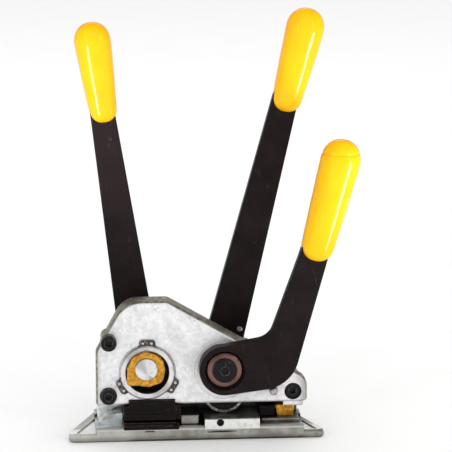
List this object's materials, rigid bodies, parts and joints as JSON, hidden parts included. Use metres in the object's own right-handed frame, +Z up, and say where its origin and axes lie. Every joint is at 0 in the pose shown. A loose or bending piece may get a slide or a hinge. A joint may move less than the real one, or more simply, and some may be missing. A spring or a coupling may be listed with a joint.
{
  "type": "strapping tool",
  "caption": "Sealless combination strapping tool: flat base, cast housing, crimping punch and crank, feed wheel with ratchet, and long hand levers with dipped grips",
  "frame": {"origin": "centre of the underside of the base", "axes": "+X along the strap to the right seen from the open working side, -Y towards the open working side, +Z up"},
  "size_m": [0.233, 0.0949, 0.3425],
  "materials": {
    "zinc_steel": "grey-green zinc plated, satin, worn on the edges",
    "cast_aluminium": "bright cast aluminium, scratched",
    "ground_steel": "ground steel",
    "turned_steel": "turned steel",
    "die_steel": "dark hardened tool steel",
    "black_steel": "black oxide, satin",
    "handle_steel": "black-brown oxide finish, satin, worn on the edges",
    "copper_washer": "copper-brown, satin",
    "spring_steel": "spring wire",
    "bronze": "bronze, satin",
    "grip_vinyl": "yellow dipped vinyl, glossy"
  },
  "bodies": {
    "root": {"base_plate": "zinc_steel", "base_screws": "black_steel", "die_block": "die_steel", "gripper_plate": "ground_steel", "gripper_pin": "black_steel", "shear_block": "ground_steel", "rear_guide": "die_steel", "bronze_guide": "bronze", "housing": "cast_aluminium", "housing_screws": "black_steel", "window_ring": "turned_steel", "ring_dowels": "turned_steel", "hub_ring": "turned_steel", "stop_pin": "turned_steel", "rear_cover": "cast_aluminium", "seal_bush": "bronze", "pivot_bush": "bronze", "hold_pawl_pin": "turned_steel", "lever_spring": "spring_steel"},
    "release_lever": {"release_lever": "handle_steel", "release_grip": "grip_vinyl", "lever_washer": "copper_washer", "lever_screw": "black_steel", "feed_carrier": "die_steel", "feed_bushes": "bronze"},
    "feed_wheel": {"feed_wheel": "die_steel", "driven_gear": "ground_steel", "feed_shaft": "turned_steel"},
    "ratchet": {"pinion_shaft": "turned_steel", "ratchet_wheel": "ground_steel", "tension_washer": "turned_steel", "tension_nut": "black_steel"},
    "tension_handle": {"tension_handle": "handle_steel", "tension_grip": "grip_vinyl", "handle_bush": "bronze", "drive_pawl_pin": "turned_steel", "spring_post": "turned_steel"},
    "drive_pawl": {"drive_pawl": "die_steel"},
    "hold_pawl": {"hold_pawl": "die_steel"},
    "sealing_handle": {"sealing_handle": "handle_steel", "sealing_grip": "grip_vinyl", "eccentric_shaft": "turned_steel", "shaft_key": "turned_steel", "sealing_washer": "turned_steel", "sealing_nut": "black_steel"},
    "slide_block": {"slide_block": "bronze", "slide_cap": "bronze"},
    "punch": {"punch_carrier": "die_steel", "punch_block": "die_steel", "punch_screws": "black_steel", "cutter_blade": "die_steel"}
  },
  "joints": [
    {"name": "release_pivot", "type": "hinge", "parent": "root", "child": "release_lever", "pos_m": [0.0217, 0, 0.0605], "axis": [0, -1, 0], "range_deg": [0, 16], "stiffness_Nm_per_rad": 1.2, "springref_deg": -14.32, "deforming": ["lever_spring"]},
    {"name": "feed_wheel_axle", "type": "hinge", "parent": "release_lever", "child": "feed_wheel", "pos_m": [0.023, 0, 0.03503], "axis": [0, -1, 0], "range_deg": [-12, 40]},
    {"name": "ratchet_shaft", "type": "hinge", "parent": "release_lever", "child": "ratchet", "pos_m": [0.0217, 0, 0.0605], "axis": [0, -1, 0], "range_deg": [-56, 16]},
    {"name": "tension_pivot", "type": "hinge", "parent": "root", "child": "tension_handle", "pos_m": [0.0217, 0, 0.0605], "axis": [0, -1, 0], "range_deg": [-55, 15]},
    {"name": "drive_pawl_pivot", "type": "hinge", "parent": "tension_handle", "child": "drive_pawl", "pos_m": [0.05159, 0, 0.05788], "axis": [0, -1, 0], "range_deg": [-12, 0], "stiffness_Nm_per_rad": 0.03, "springref_deg": 17.19},
    {"name": "hold_pawl_pivot", "type": "hinge", "parent": "root", "child": "hold_pawl", "pos_m": [-0.00728, 0, 0.05273], "axis": [0, -1, 0], "range_deg": [-12, 0], "stiffness_Nm_per_rad": 0.03, "springref_deg": 17.19},
    {"name": "sealing_pivot", "type": "hinge", "parent": "root", "child": "sealing_handle", "pos_m": [-0.0397, 0, 0.0571], "axis": [0, -1, 0], "range_deg": [0, 80]},
    {"name": "crank_pin", "type": "hinge", "parent": "sealing_handle", "child": "slide_block", "pos_m": [-0.04079, 0, 0.06116], "axis": [0, -1, 0], "range_deg": [-81, 1]},
    {"name": "punch_slide", "type": "slide", "parent": "root", "child": "punch", "axis": [0, 0, 1], "range_m": [-0.0044, 0.0001]}
  ],
  "couplings": [
    {"joint": "feed_wheel_axle", "follows": "tension_pivot", "ratio": -0.7},
    {"joint": "ratchet_shaft", "follows": "tension_pivot", "ratio": 1},
    {"joint": "crank_pin", "follows": "sealing_pivot", "ratio": -1},
    {"joint": "punch_slide", "follows": "sealing_pivot", "m_per_rad": -0.003008}
  ]
}
